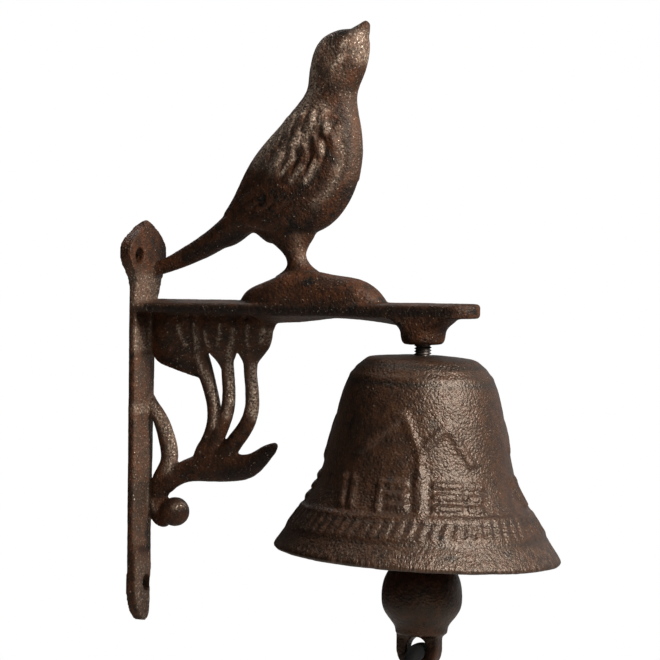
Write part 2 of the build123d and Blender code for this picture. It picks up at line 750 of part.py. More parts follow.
# Route of the cord from the knot, up the near side of the tang, through its eye, down and on to the end knot,
# in millimetres from the middle of the tang's eye
cord_route = [
    (0.6, -2.2, -24.0),
    (1.2, -8.2, -15.6),
    (0.8, -8.2, -0.9),
    (-0.2, 8.0, -0.9),
    (0.4, 7.8, -15.6),
    (0.2, 1.6, -25.0),
    (-0.6, -0.8, -38.0),
    (0.5, 0.4, -55.0),
    (-0.4, 0.9, -80.0),
    (0.6, -0.3, -105.0),
    (0.1, 0.3, -128.0),
]


def corner_radii(points):
    """Largest arc at each corner that leaves both of its runs room, 0.45 of the shorter run each."""
    radii = []
    for before, corner, after in zip(points, points[1:], points[2:]):
        shorter = min((corner - before).length, (after - corner).length)
        turn = math.radians((corner - before).get_angle(after - corner))
        radii.append(0.45 * shorter / math.tan(turn / 2))
    return radii


def pull_cord():
    points = [cord_eye_centre + Vector(*step) for step in cord_route]
    radii = corner_radii(points)
    path = FilletPolyline(*points, radius=radii)
    start = Plane(origin=path @ 0, z_dir=path % 0)
    tube = sweep(start * Circle(cord_diameter / 2), path=path)
    section_area = math.pi * cord_diameter**2 / 4
    print("cord radii", [round(radius, 1) for radius in radii])
    print("cord length", round(path.length, 1), "volume share", tube.volume / (path.length * section_area))
    return tube


def knot(centre, radius, squash):
    """Knot as a slightly flattened ball."""
    tall = radius * squash
    outline = Spline(
        (0, 0, tall),
        (radius * 0.71, 0, tall * 0.71),
        (radius, 0, 0),
        (radius * 0.71, 0, -tall * 0.71),
        (0, 0, -tall),
        tangents=[(1, 0, 0), (-1, 0, 0)],
    )
    ball = revolve(make_face(Curve() + [outline, Line((0, 0, -tall), (0, 0, tall))]), Axis.Z)
    return Pos(*(cord_eye_centre + Vector(*centre))) * ball


def tang_knot():
    return knot((0.3, 0.0, -23.6), cord_knot_radius, 0.92)


def end_knot():
    return knot((0.1, 0.3, -132.6), end_knot_radius, 0.95)


middle_of_screws = Vector(0, (upper_hole_y + lower_hole_y) / 2, (upper_hole_z + lower_hole_z) / 2)

pieces = {
    "wall_bracket": bracket,
    "bell": bell,
    "eye_bolt": eye_bolt,
    "crown_washer": washer,
    "crown_nut": crown_nut,
    "clapper": clapper,
    "pull_cord": pull_cord,
    "tang_knot": tang_knot,
    "cord_end_knot": end_knot,
}
for name, build in pieces.items():
    piece = build()
    export_step(Pos(*(-middle_of_screws)) * piece, f"parts/{name}.step")
    print(name, len(piece.solids()), "solids, volume", round(piece.volume))
print("pivot", pivot - middle_of_screws, "cord eye", cord_eye_centre - middle_of_screws)
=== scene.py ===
import math

import bpy
import numpy as np
from mathutils import Matrix, Vector


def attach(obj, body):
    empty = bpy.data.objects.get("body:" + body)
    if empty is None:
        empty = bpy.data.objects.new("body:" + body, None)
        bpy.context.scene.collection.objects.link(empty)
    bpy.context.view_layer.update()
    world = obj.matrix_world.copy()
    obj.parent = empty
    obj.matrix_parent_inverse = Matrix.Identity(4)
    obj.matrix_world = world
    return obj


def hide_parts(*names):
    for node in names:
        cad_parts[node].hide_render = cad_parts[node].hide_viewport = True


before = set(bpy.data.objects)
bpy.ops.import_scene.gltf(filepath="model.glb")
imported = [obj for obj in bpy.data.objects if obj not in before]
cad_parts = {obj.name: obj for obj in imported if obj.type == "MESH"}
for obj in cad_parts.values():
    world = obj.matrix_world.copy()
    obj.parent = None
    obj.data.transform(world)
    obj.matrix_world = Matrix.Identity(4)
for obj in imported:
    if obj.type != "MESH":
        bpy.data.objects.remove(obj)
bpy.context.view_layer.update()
mm = 0.001


def deselectAll():
    bpy.ops.object.select_all(action="DESELECT")


def makeActive(piece):
    deselectAll()
    piece.select_set(True)
    bpy.context.view_layer.objects.active = piece


def applyModifier(piece, kind, **settings):
    makeActive(piece)
    modifier = piece.modifiers.new(kind.title(), kind)
    for key, value in settings.items():
        setattr(modifier, key, value)
    bpy.ops.object.modifier_apply(modifier=modifier.name)


def settle(piece):
    # the place goes into the mesh, so that patterns and the export keep still
    makeActive(piece)
    bpy.ops.object.transform_apply(location=True, rotation=True, scale=True)


def meshPiece(name, vertices, faces):
    mesh = bpy.data.meshes.new(name)
    mesh.from_pydata(vertices, [], faces)
    mesh.validate()
    piece = bpy.data.objects.new(name, mesh)
    bpy.context.scene.collection.objects.link(piece)
    return piece


camera = {
    "place": (0.648927, -1.0266, 0.066485),
    "azimuth": 29.0,
    "elevation": 1.6,
    "roll": 0.6,
    "lens": 185.4545,
    "sensor": 36,
    "clip": (0.05, 20),
}


def makeCamera():
    azimuth, elevation, roll = (math.radians(camera[k]) for k in ("azimuth", "elevation", "roll"))
    flat = math.cos(elevation)
    forward = Vector((-math.sin(azimuth) * flat, math.cos(azimuth) * flat, -math.sin(elevation)))
    level = Vector((math.cos(azimuth), math.sin(azimuth), 0))
    upright = level.cross(forward)
    right = level * math.cos(roll) + upright * math.sin(roll)
    up = upright * math.cos(roll) - level * math.sin(roll)
    turn = Matrix((right, up, -forward)).transposed().to_4x4()
    bpy.ops.object.camera_add()
    eye = bpy.context.object
    eye.name = "photoCamera"
    eye.matrix_world = Matrix.Translation(camera["place"]) @ turn
    eye.data.sensor_width = camera["sensor"]
    eye.data.lens = camera["lens"]
    eye.data.clip_start, eye.data.clip_end = camera["clip"]
    bpy.context.scene.camera = eye
    return forward, level


forward, level = makeCamera()
print("camera stands")


def feed(tree, place, value):
    if isinstance(value, Wire):
        tree.links.new(value.socket, place)
    elif isinstance(value, bpy.types.NodeSocket):
        tree.links.new(value, place)
    else:
        place.default_value = value


class Wire:
    # one output of a material's nodes; sums on it add Math nodes
    def __init__(self, tree, socket):
        self.tree, self.socket = tree, socket

    def math(self, operation, *others, clamp=False):
        node = self.tree.nodes.new("ShaderNodeMath")
        node.operation = operation
        node.use_clamp = clamp
        for place, value in zip(node.inputs, (self,) + others):
            feed(self.tree, place, value)
        return Wire(self.tree, node.outputs[0])

    def __add__(self, other):
        return self.math("ADD", other)

    def __sub__(self, other):
        return self.math("SUBTRACT", other)

    def __mul__(self, other):
        return self.math("MULTIPLY", other)

    def __rsub__(self, other):
        return (self * -1.0) + other

    def __pow__(self, other):
        return self.math("POWER", other)

    __radd__ = __add__
    __rmul__ = __mul__

    def clamped(self):
        return self.math("MULTIPLY", 1.0, clamp=True)


class Finish:
    # a material with one Principled shader, and the nodes that feed it
    def __init__(self, name):
        self.material = bpy.data.materials.new(name)
        self.material.use_nodes = True
        self.tree = self.material.node_tree
        self.shader = self.tree.nodes["Principled BSDF"]
        place = self.tree.nodes.new("ShaderNodeTexCoord")
        self.object = Wire(self.tree, place.outputs["Object"])

    def node(self, kind, settings=None, **values):
        node = self.tree.nodes.new("ShaderNode" + kind)
        for key, value in (settings or {}).items():
            setattr(node, key, value)
        for key, value in values.items():
            feed(self.tree, node.inputs[key.replace("_", " ")], value)
        return node

    def noise(self, scale, detail, roughness, vector=None):
        place = vector or self.object
        node = self.node("TexNoise", Vector=place, Scale=scale, Detail=detail, Roughness=roughness)
        return Wire(self.tree, node.outputs["Fac"])

    def step(self, value, low, high, outLow=0.0, outHigh=1.0):
        node = self.node("MapRange", {"interpolation_type": "SMOOTHSTEP"})
        for place, part in zip(node.inputs, (value, low, high, outLow, outHigh)):
            feed(self.tree, place, part)
        return Wire(self.tree, node.outputs[0])

    def mix(self, factor, first, second):
        node = self.node("Mix", {"data_type": "RGBA"})
        feed(self.tree, node.inputs["Factor"], factor)
        feed(self.tree, node.inputs[6], first)
        feed(self.tree, node.inputs[7], second)
        return Wire(self.tree, node.outputs[2])

    def set(self, **values):
        for key, value in values.items():
            feed(self.tree, self.shader.inputs[key.replace("_", " ")], value)

    def mark(self, name):  # a value that castCopy wrote on the points of the mesh
        node = self.node("Attribute", {"attribute_type": "GEOMETRY", "attribute_name": name})
        return Wire(self.tree, node.outputs["Fac"])

    def bump(self, height, strength, distance):
        node = self.node("Bump", Strength=strength, Distance=distance, Height=height)
        self.set(Normal=node.outputs[0])


def colour(red, green, blue):
    # a colour given as it looks on a screen, 0 to 255, made linear
    def linear(shade):
        return ((shade / 255 + 0.055) / 1.055) ** 2.4 if shade > 10 else shade / 255 / 12.92

    return (linear(red), linear(green), linear(blue), 1.0)


ironLook = {
    "rust": colour(84, 47, 24),
    "deepRust": colour(53, 31, 17),
    "black": colour(18, 13, 10),
    "worn": colour(148, 124, 106),
    # painted highlight: a light sheen where the bird's nape, back and breast, the plate and the buds catch
    # the light
    "paintedSheen": colour(178, 152, 132),
    # painted highlight: the light colour of glinting specks
    "paintedGlint": colour(214, 194, 174),
    "patchScale": 60.0,
    "sootShare": 0.40,  # more of the black patches with a higher number
    "grainScale": 1050.0,
    "speckScale": 1350.0,
    "speckStart": 0.65,  # fewer bright specks, shiny and with a painted glint colour, with a higher number
    "roughness": (0.26, 0.55),  # of the bright specks and of the rest
    "bump": (0.9, 0.0006),
    "gloss": 0.38,
    "glossTint": (1.0, 0.92, 0.85, 1.0),
    "grit": 0.35,  # how black the fine pits are
}
bellLook = dict(
    ironLook,
    rust=colour(67, 40, 23),
    deepRust=colour(45, 27, 16),
    sootShare=0.37,
    speckStart=0.68,
    roughness=(0.21, 0.43),
    bump=(0.75, 0.0005),
    gloss=0.9,
    glossTint=(1.0, 0.83, 0.7, 1.0),
    grit=0.5,
)
clapperLook = dict(
    ironLook,
    rust=colour(62, 35, 20),
    deepRust=colour(32, 19, 12),
    sootShare=0.4,
    speckStart=0.8,
    roughness=(0.22, 0.38),
    bump=(0.6, 0.0004),
    gloss=0.55,
    glossTint=(1.0, 0.8, 0.66, 1.0),
)

# what all castings share; a step gives the value at which a pattern starts and is full
skin = {
    "patches": {"detail": 5.0, "roughness": 0.62},
    "mottling": {"detail": 4.0, "roughness": 0.6},
    "crumbs": {"detail": 4.0, "roughness": 0.6},
    "specks": {"detail": 2.5, "roughness": 0.6},
    "mottlingScale": 4.5,  # times the patches' scale
    "crumbScale": 0.5,  # times the grain's scale
    "rustStep": (0.36, 0.66),
    "sootFray": (0.45, 0.3),  # how far mottling and crumbs break up its rims
    "sootFade": 0.1,
    "hollowFray": 0.05,
    "hollowStep": (0.49, 0.42),  # painted shade in the hollows, on how far the surface curves inwards
    # how black the painted shade in the hollows is
    "hollowShade": 0.8,
    "markedShade": (0.3, 0.5, 0.6, 1.0),  # crumbs thin the painted shade out to 0.6 along its lines
    "gritStep": (0.48, 0.36),
    "edgeFray": 0.08,
    "edgeStep": (0.54, 0.63),  # on how far the surface curves outwards
    # lighter worn edges, which also serve as painted highlights along the edges
    "edgeWearAndHighlight": 0.4,
    "edgeSpecks": 0.08,  # how many more bright specks, with a painted glint colour, an edge has
    # painted highlight: the sheen and its extra bright specks along the lines of painted sheen
    "paintedSheenShare": 0.5,
    "paintedSheenSpecks": 0.17,
    "gapStep": (0.5, 0.36),  # dark gaps between the specks of a painted sheen
    "gapPaint": 0.9,
    "glintFade": 0.1,
    # painted highlight: how much the bright specks take the glint colour
    "paintedGlintShare": 0.75,
    "glintMetal": 0.35,
    "leastGrain": 0.3,  # height of the flattest grain, as a share of the highest
    "heights": {"grain": 0.7, "crumbs": 0.6, "specks": 0.5},
}
# fine upright scratches on the bell's lip, between two levels in metres
scratches = {
    "top": -0.035,
    "foot": -0.0395,
    "across": 1150.0,
    "down": 60.0,
    "detail": 2.0,
    "roughness": 0.6,
    "wornStep": (0.52, 0.68),
    "worn": 0.22,
    "blackStep": (0.48, 0.36),
    "black": 0.5,
    "grainLost": 0.7,  # how much of the sand grain the scratches replace
    "height": 1.4,
}

# places of painted sheen, standing in for highlights, and of painted shade, seen from the side, as
# (strength, half width, [(x, z), ...]) in millimetres
paintedSheenLines = [
    (1.0, 3.4, [(74.0, 133.1), (71.9, 128.5), (71.2, 122.6), (71.2, 117.6)]),
    (1.0, 3.4, [(71.2, 117.6), (68.9, 112.1), (64.7, 107.1)]),
    (1.0, 3.6, [(64.7, 107.1), (59.2, 102.2), (53.7, 97.3), (49.5, 93.0)]),
    (0.8, 3.2, [(75.6, 109.6), (72.5, 104.0), (67.1, 98.5), (61.8, 94.2), (57.7, 90.5)]),
    (0.8, 2.2, [(88.3, 136.1), (88.3, 131.7), (88.6, 127.5)]),
    (1.0, 1.2, [(84.7, 133.2), (84.0, 130.7)]),
    (1.0, 1.3, [(84.0, 128.6), (82.2, 126.4), (79.9, 124.3)]),
    (0.2, 2.0, [(84.7, 114.7), (85.1, 109.8), (86.1, 104.8), (86.7, 99.9)]),
    (0.2, 2.0, [(86.7, 99.9), (86.6, 95.5), (85.6, 90.6), (84.1, 86.3)]),
    (0.6, 1.4, [(82.5, 102.8), (83.2, 97.3), (83.6, 93.0), (82.1, 88.7)]),
    (0.6, 1.4, [(82.1, 88.7), (80.8, 85.0), (78.4, 81.9), (75.5, 78.8), (73.5, 77.2)]),
    (1.0, 1.0, [(78.5, 104.6), (78.4, 102.1)]),
    (1.0, 1.0, [(73.6, 107.7), (73.3, 104.6)]),
    (1.0, 1.0, [(71.4, 101.6), (71.2, 97.9)]),
    (1.0, 1.0, [(76.8, 97.9), (77.1, 94.8)]),
    (1.0, 1.1, [(74.9, 91.1), (72.9, 87.4), (71.2, 85.2)]),
    (1.0, 0.9, [(69.7, 89.8), (65.8, 84.9)]),
    (1.0, 0.9, [(66.6, 92.9), (61.6, 87.4)]),
    (1.0, 0.9, [(61.1, 92.0), (56.8, 88.9)]),
    (1.0, 0.9, [(67.7, 100.9), (68.1, 97.2)]),
    (0.3, 1.9, [(64.4, 65.8), (64.7, 61.4), (65.5, 58.3)]),
    (0.5, 4.2, [(3.7, 48.9), (2.9, 44.6)]),
    (0.35, 0.8, [(3.4, 36.0), (3.4, -44.0)]),
    (0.6, 0.9, [(4.6, -48.0), (4.6, -74.0)]),
    (0.45, 4.5, [(76.0, 131.0), (79.5, 124.0)]),
    (0.15, 5.0, [(14.0, 29.0), (30.0, 29.0), (48.0, 29.5)]),
    (0.9, 0.7, [(21.8, 34.0), (22.1, 32.3)]),
    (0.8, 0.7, [(33.0, 34.0), (32.8, 30.0), (32.2, 27.5)]),
    (0.8, 0.7, [(44.5, 34.0), (44.3, 30.0), (44.6, 27.5)]),
    (1.0, 0.9, [(15.8, 33.5), (16.0, 31.7), (18.5, 27.2)]),
    (0.9, 1.4, [(22.1, 32.3), (22.9, 28.2), (22.9, 23.2), (24.9, 18.8)]),
    (0.9, 1.4, [(24.9, 18.8), (28.1, 14.3), (29.9, 9.9), (31.2, 5.8), (31.0, 1.8), (30.6, -1.0)]),
    (0.9, 0.9, [(26.9, 31.5), (27.1, 28.8), (28.4, 26.6)]),
    (0.9, 1.1, [(37.7, 32.6), (37.7, 29.9), (36.9, 27.2), (36.2, 23.6)]),
    (1.0, 1.6, [(36.5, 20.4), (36.8, 16.8), (37.2, 12.3), (37.1, 7.4)]),
    (0.8, 1.1, [(36.0, 5.6), (35.4, 1.9)]),
    (1.0, 1.6, [(46.2, 19.8), (46.1, 15.8), (46.5, 11.7), (46.3, 7.7), (45.6, 4.1)]),
    (0.9, 0.9, [(47.1, 5.9), (46.4, 1.4)]),
    (1.0, 1.4, [(50.6, 32.5), (49.8, 29.3)]),
    (0.2, 6.0, [(22.0, 25.0), (46.0, 21.0), (46.0, 8.0)]),
    (0.9, 1.0, [(52.5, 32.5), (52.0, 28.0)]),
    (0.8, 2.2, [(3.7, 4.0), (7.4, 0.9), (9.6, -2.6), (12.0, -6.7)]),
    (0.8, 2.2, [(12.0, -6.7), (12.7, -10.3), (12.7, -13.9), (11.5, -17.6)]),
    (0.8, 1.0, [(4.9, -29.3), (6.0, -32.4)]),
    (0.8, 1.0, [(15.8, -30.7), (17.6, -30.2)]),
    (0.6, 1.2, [(2.8, 32.0), (2.8, 29.3), (2.8, 25.2)]),
]
# painted shade: dark along and under the arm, round the buds' cups and the scrolls, and in the bird's
# creases
paintedShadeLines = [
    (0.6, 1.0, [(82.0, 112.0), (84.6, 103.0), (85.4, 96.0), (84.6, 90.5), (82.5, 85.5)]),
    (0.6, 0.9, [(88.5, 114.0), (89.6, 104.0), (88.6, 91.0)]),
    (0.6, 0.8, [(86.5, 116.0), (87.4, 106.0), (87.6, 96.0), (86.0, 86.0)]),
    (0.5, 0.8, [(84.0, 117.0), (83.4, 108.0), (84.0, 99.0)]),
    (0.5, 2.5, [(60.0, 79.0), (72.0, 80.0), (80.0, 84.0)]),
    (1.0, 2.1, [(79.4, 134.5), (82.8, 136.0), (85.8, 137.0)]),
    (0.7, 2.1, [(78.1, 120.6), (78.6, 118.2)]),
    (0.7, 1.6, [(80.8, 132.2), (81.6, 128.5)]),
    (0.9, 1.5, [(75.6, 88.6), (72.4, 84.9), (68.4, 81.8)]),
    (0.9, 1.6, [(78.9, 95.1), (81.1, 92.3)]),
    (0.8, 1.9, [(51.8, 91.8), (55.5, 89.9)]),
    (0.7, 2.1, [(73.8, 73.9), (69.2, 69.5)]),
    (0.7, 1.4, [(60.2, 101.0), (63.9, 99.7)]),
    (0.7, 1.2, [(84.9, 84.5), (82.0, 78.9)]),
    (0.9, 2.3, [(7.1, 40.1), (22.9, 40.1), (40.7, 40.0), (62.5, 40.5)]),
    (0.9, 2.3, [(62.5, 40.5), (90.0, 40.5), (112.0, 40.5), (128.0, 40.5)]),
    (0.8, 2.0, [(18.1, 58.0), (26.4, 60.7), (33.7, 63.5), (39.8, 66.2)]),
    (0.8, 1.8, [(9.0, 21.7), (15.6, 20.3), (20.5, 18.6)]),
    (0.8, 2.6, [(34.6, -18.4), (43.9, -17.1), (49.7, -13.7), (54.0, -8.7)]),
    (0.7, 1.4, [(13.4, -30.1), (12.3, -27.8)]),
    (0.8, 1.2, [(2.8, -23.1), (3.2, -29.0), (4.5, -33.9)]),
]


def ironPatterns(iron, look):
    def noise(name, scale):
        return iron.noise(scale, **skin[name])

    patterns = {
        "patches": noise("patches", look["patchScale"]),
        "mottling": noise("mottling", look["patchScale"] * skin["mottlingScale"]),
        "crumbs": noise("crumbs", look["grainScale"] * skin["crumbScale"]),
        "specks": noise("specks", look["speckScale"]),
        "pointed": Wire(iron.tree, iron.node("NewGeometry").outputs["Pointiness"]),
    }
    beads = iron.node("TexVoronoi", {"feature": "F1"}, Vector=iron.object, Scale=look["grainScale"])
    away = Wire(iron.tree, beads.outputs["Distance"])
    chance = Wire(iron.tree, iron.node("SeparateColor", Color=beads.outputs["Color"]).outputs["Red"])
    patterns["grain"] = (1.0 - away) * (chance * (1 - skin["leastGrain"]) + skin["leastGrain"])
    return patterns


def rustSootAndShade(iron, look, patterns, marked):
    mottling, crumbs = patterns["mottling"] - 0.5, patterns["crumbs"] - 0.5
    byMottling, byCrumbs = skin["sootFray"]
    frayed = patterns["patches"] + mottling * byMottling + crumbs * byCrumbs
    sootAndShade = iron.step(frayed, look["sootShare"], look["sootShare"] - skin["sootFade"])
    # painted shade: black in the hollows, where shade gathers
    hollows = iron.step(patterns["pointed"] + crumbs * skin["hollowFray"], *skin["hollowStep"])
    sootAndShade = sootAndShade.math("MAXIMUM", hollows * skin["hollowShade"])
    if marked:
        # painted shade along the lines marked on the mesh
        sootAndShade = sootAndShade.math("MAXIMUM", iron.mark("paintedShade") * iron.step(patterns["crumbs"], *skin["markedShade"]))
    rust = iron.mix(iron.step(patterns["mottling"], *skin["rustStep"]), look["deepRust"], look["rust"])
    painted = iron.mix(sootAndShade, rust, look["black"])
    return iron.mix(iron.step(patterns["specks"], *skin["gritStep"]) * look["grit"], painted, look["black"])


def lipScratches(iron, look, painted, height):
    stretched = iron.node("VectorMath", {"operation": "MULTIPLY"})
    feed(iron.tree, stretched.inputs[0], iron.object)
    stretched.inputs[1].default_value = (scratches["across"], scratches["across"], scratches["down"])
    lines = iron.noise(1.0, scratches["detail"], scratches["roughness"], vector=stretched.outputs[0])
    parts = iron.node("SeparateXYZ", Vector=iron.object)
    near = iron.step(Wire(iron.tree, parts.outputs["Z"]), scratches["top"], scratches["foot"])
    worn = near * iron.step(lines, *scratches["wornStep"]) * scratches["worn"]
    black = near * iron.step(lines, *scratches["blackStep"]) * scratches["black"]
    painted = iron.mix(black, iron.mix(worn, painted, look["worn"]), look["black"])
    return painted, height * (1.0 - near * scratches["grainLost"]) + lines * near * scratches["height"]


def makeIron(name, look, scratched=False, marked=False):
    iron = Finish(name)
    patterns = ironPatterns(iron, look)
    crumbs, specks = patterns["crumbs"], patterns["specks"]
    painted = rustSootAndShade(iron, look, patterns, marked)
    edges = iron.step(patterns["pointed"] + (crumbs - 0.5) * skin["edgeFray"], *skin["edgeStep"])
    # worn edges turn lighter, which also paints highlights on them
    painted = iron.mix(edges * skin["edgeWearAndHighlight"], painted, look["worn"])
    bright = specks + edges * skin["edgeSpecks"]
    if marked:
        # painted highlight: a light sheen with more bright specks and dark gaps between them
        paintedSheenMask = iron.mark("paintedSheen")
        gaps = paintedSheenMask * iron.step(specks, *skin["gapStep"]) * skin["gapPaint"]
        painted = iron.mix(paintedSheenMask * skin["paintedSheenShare"], painted, look["paintedSheen"])
        painted = iron.mix(gaps, painted, look["black"])
        bright = bright + paintedSheenMask * skin["paintedSheenSpecks"]
    # the bright specks are shinier and partly metal, and also get a painted glint colour
    shineAndPaintedGlints = iron.step(bright, look["speckStart"], look["speckStart"] + skin["glintFade"])
    painted = iron.mix(shineAndPaintedGlints * skin["paintedGlintShare"], painted, look["paintedGlint"])
    heights = skin["heights"]
    height = patterns["grain"] * heights["grain"] + crumbs * heights["crumbs"] + specks * heights["specks"]
    if scratched:
        painted, height = lipScratches(iron, look, painted, height)
    low, high = look["roughness"]
    iron.set(
        Base_Color=painted,
        Roughness=(1.0 - shineAndPaintedGlints) * (high - low) + low,
        Metallic=shineAndPaintedGlints * skin["glintMetal"],
    )
    iron.shader.inputs["Specular IOR Level"].default_value = look["gloss"]
    iron.shader.inputs["Specular Tint"].default_value = look["glossTint"]
    iron.bump(height, *look["bump"])
    return iron.material


steelLook = {
    "dark": colour(66, 60, 56),
    "light": colour(120, 112, 106),
    "smudges": {"scale": 500, "detail": 4.0, "roughness": 0.6},
    "roughness": (0.25, 0.55),
    "metallic": 0.85,
}


def makeSteel():
    steel = Finish("dullSteel")
    smudge = steel.noise(**steelLook["smudges"])
    low, high = steelLook["roughness"]
    steel.set(
        Base_Color=steel.mix(smudge, steelLook["dark"], steelLook["light"]),
        Roughness=smudge * (high - low) + low,
    )
    steel.shader.inputs["Metallic"].default_value = steelLook["metallic"]
    return steel.material


cordLook = {
    "dark": colour(9, 9, 10),
    "light": colour(24, 24, 26),
    "fuzz": {"scale": 2500, "detail": 3.0, "roughness": 0.6},
    "roughness": (0.65, 0.85),
    "sheen": 0.08,
    "gloss": 0.25,
    "bump": (0.4, 0.0002),
}


def makeCordFinish():
    black = Finish("blackCord")
    fuzz = black.noise(**cordLook["fuzz"])
    low, high = cordLook["roughness"]
    black.set(
        Base_Color=black.mix(fuzz, cordLook["dark"], cordLook["light"]),
        Roughness=fuzz * (high - low) + low,
    )
    black.shader.inputs["Sheen Weight"].default_value = cordLook["sheen"]
    black.shader.inputs["Specular IOR Level"].default_value = cordLook["gloss"]
    black.bump(fuzz, *cordLook["bump"])
    return black.material


ironFinish = makeIron("castIron", ironLook, marked=True)
bellFinish = makeIron("bellIron", bellLook, scratched=True, marked=True)
clapperFinish = makeIron("clapperIron", clapperLook)
steelFinish = makeSteel()
cordFinish = makeCordFinish()
print("finishes mixed")

cordShape = {
    "eye": (114.219, 3.35, -74.523),  # middle of the eye in the clapper's tang, in millimetres
    "route": [  # up from the closing knot, through the eye and down, measured from the eye
        (0.6, -2.2, -24.0),
        (1.2, -8.2, -15.6),
        (0.8, -8.2, -0.9),
        (-0.2, 8.0, -0.9),
        (0.4, 7.8, -15.6),
        (0.2, 1.6, -25.0),
        (-0.6, -0.8, -38.0),
        (0.5, 0.4, -55.0),
        (-0.4, 0.9, -80.0),
        (0.6, -0.3, -105.0),
        (0.1, 0.3, -128.0),
    ],
    "length": 164.1,
    "diameter": 6.0,
    "plaits": 8,
    "pitch": 11.0,
    "relief": 0.4,
    "step": 0.45,
}
knotShape = {
    "spread": 1.5,
    "depth": 2.9,
    "steps": 150,
    "diameter": 5.8,
    "plaits": 8,
    "pitch": 9.0,
    "relief": 0.35,
}
knots = {
    "tangKnot": {"place": (0.3, 0.0, -23.6), "turn": 24},
    "endKnot": {"place": (0.1, 0.3, -132.6), "turn": 58},
}
tubeSides = 40


def routeSpline(points, name):
    # a smooth curve near the points, which it only touches at its two ends
    line = bpy.data.curves.new(name, "CURVE")
    line.dimensions = "3D"
    spline = line.splines.new("NURBS")
    spline.points.add(len(points) - 1)
    for knot, place in zip(spline.points, points):
        knot.co = (*place, 1.0)
    spline.order_u = 3
    spline.use_endpoint_u = True
    spline.resolution_u = 24
    return line


def followedPoints(line):
    carrier = bpy.data.objects.new(line.name, line)
    bpy.context.scene.collection.objects.link(carrier)
    bpy.context.view_layer.update()
    finished = carrier.evaluated_get(bpy.context.evaluated_depsgraph_get())
    mesh = bpy.data.meshes.new_from_object(finished)
    points = [v.co.copy() for v in mesh.vertices]
    bpy.data.objects.remove(carrier)
    bpy.data.meshes.remove(mesh)
    return points


def evenly(points, spacing):
    # walks along the line in equal steps
    lengths = [0.0]
    for a, b in zip(points, points[1:]):
        lengths.append(lengths[-1] + (b - a).length)
    count = round(lengths[-1] / spacing)
    walked, i = [], 0
    for k in range(count + 1):
        at = lengths[-1] * k / count
        while i < len(points) - 2 and lengths[i + 1] < at:
            i += 1
        share = (at - lengths[i]) / max(lengths[i + 1] - lengths[i], 1e-9)
        walked.append(points[i].lerp(points[i + 1], min(share, 1.0)))
    return walked


def braidHeight(angle, lead, plaits):
    # two sets of strands wind opposite ways and pass over and under each other
    up, down = plaits / 2 * (angle + lead), plaits / 2 * (angle - lead)
    over = 0.5 + 0.5 * math.sin(up) * math.sin(down)
    return max(math.cos(up) ** 2 * over, math.cos(down) ** 2 * (1 - over))


def braidedTube(name, points, shape, closed=False):
    radius, relief, pitch = (shape[k] * mm for k in ("diameter", "relief", "pitch"))
    radius /= 2
    around, count = tubeSides, len(points)
    vertices, side, walked = [], None, 0.0
    for i, point in enumerate(points):
        before = points[i - 1] if (i or closed) else points[0]
        after = points[(i + 1) % count] if (i < count - 1 or closed) else points[-1]
        along = (after - before).normalized()
        if side is None:
            side = along.orthogonal().normalized()
        side = (side - along * side.dot(along)).normalized()
        other = along.cross(side)
        if i:
            walked += (point - points[i - 1]).length
        for k in range(around):
            angle = math.tau * k / around
            height = braidHeight(angle, walked / pitch * math.tau, shape["plaits"])
            out = radius - relief * (1 - height**0.5)
            vertices.append(point + (side * math.cos(angle) + other * math.sin(angle)) * out)
    faces = []
    for i in range(count if closed else count - 1):
        for k in range(around):
            beside = (k + 1) % around
            ring, nextRing = i * around, (i + 1) % count * around
            faces.append((ring + k, ring + beside, nextRing + beside, nextRing + k))
    if not closed:
        faces.append(tuple(range(around - 1, -1, -1)))
        faces.append(tuple((count - 1) * around + k for k in range(around)))
    piece = meshPiece(name, vertices, faces)
    makeActive(piece)
    bpy.ops.object.mode_set(mode="EDIT")
    bpy.ops.mesh.select_all(action="SELECT")
    bpy.ops.mesh.normals_make_consistent(inside=False)
    bpy.ops.object.mode_set(mode="OBJECT")
    bpy.ops.object.shade_smooth()
    return piece


def overhandKnot(name, place, turn):
    # a trefoil, which is an overhand knot with its ends joined
    spread, flatness = knotShape["spread"], knotShape["depth"] / knotShape["spread"]
    centre = eyeCentre + Vector(place) * mm
    turned = Matrix.Rotation(math.radians(turn), 3, "Z")
    points = []
    for i in range(knotShape["steps"]):
        t = math.tau * i / knotShape["steps"]
        x, z = math.sin(t) + 2 * math.sin(2 * t), math.cos(t) - 2 * math.cos(2 * t)
        loop = Vector((x, -flatness * math.sin(3 * t), z)) * spread
        points.append(centre + (turned @ loop) * mm)
    return braidedTube(name, points, knotShape, closed=True)


eyeCentre = Vector(cordShape["eye"]) * mm
cordRoute = [eyeCentre + Vector(step) * mm for step in cordShape["route"]]
cordPath = evenly(followedPoints(routeSpline(cordRoute, "cordLine")), cordShape["step"] * mm)
pullCord = braidedTube("pullCord", cordPath, cordShape)
tangKnot = overhandKnot("tangKnot", **knots["tangKnot"])
endKnot = overhandKnot("endKnot", **knots["endKnot"])
for piece, node in ((pullCord, "pull_cord"), (tangKnot, "tang_knot"), (endKnot, "cord_end_knot")):
    piece.data.materials.append(cordFinish)
    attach(piece, "clapper")
    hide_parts(node)
print("cord hangs")


